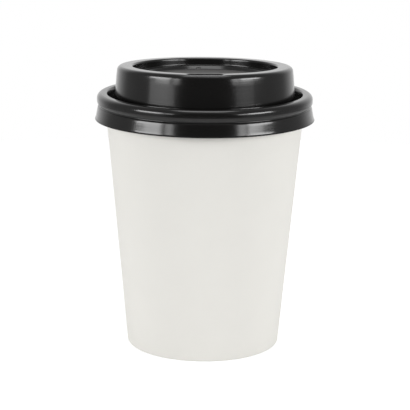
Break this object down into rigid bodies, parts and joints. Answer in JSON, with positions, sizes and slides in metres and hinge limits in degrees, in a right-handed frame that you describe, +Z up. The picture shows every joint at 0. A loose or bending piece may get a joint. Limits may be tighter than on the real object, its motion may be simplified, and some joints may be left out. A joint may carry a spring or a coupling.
{
  "type": "paper coffee cup",
  "caption": "White paper takeaway cup with a tapered wrapped wall, rolled rim and recessed base, and a push-on black plastic sip lid that lifts off.",
  "frame": {"origin": "centre of the foot ring, on the surface the cup stands on", "axes": "+Z up along the cup's axis; the sip slot in the lid faces -Y and the side seam of the wall is at +Y"},
  "size_m": [0.084, 0.084, 0.1103],
  "materials": {
    "wall_paper": "matte",
    "base_paper": "matte",
    "lid_plastic": "satin"
  },
  "bodies": {
    "cup": {"cup_wall": "wall_paper", "cup_base": "base_paper"},
    "lid": {"lid": "lid_plastic"}
  },
  "joints": [
    {"name": "lid_lift", "type": "slide", "parent": "cup", "child": "lid", "axis": [0, 0, 1], "range_m": [0, 0.06]}
  ]
}
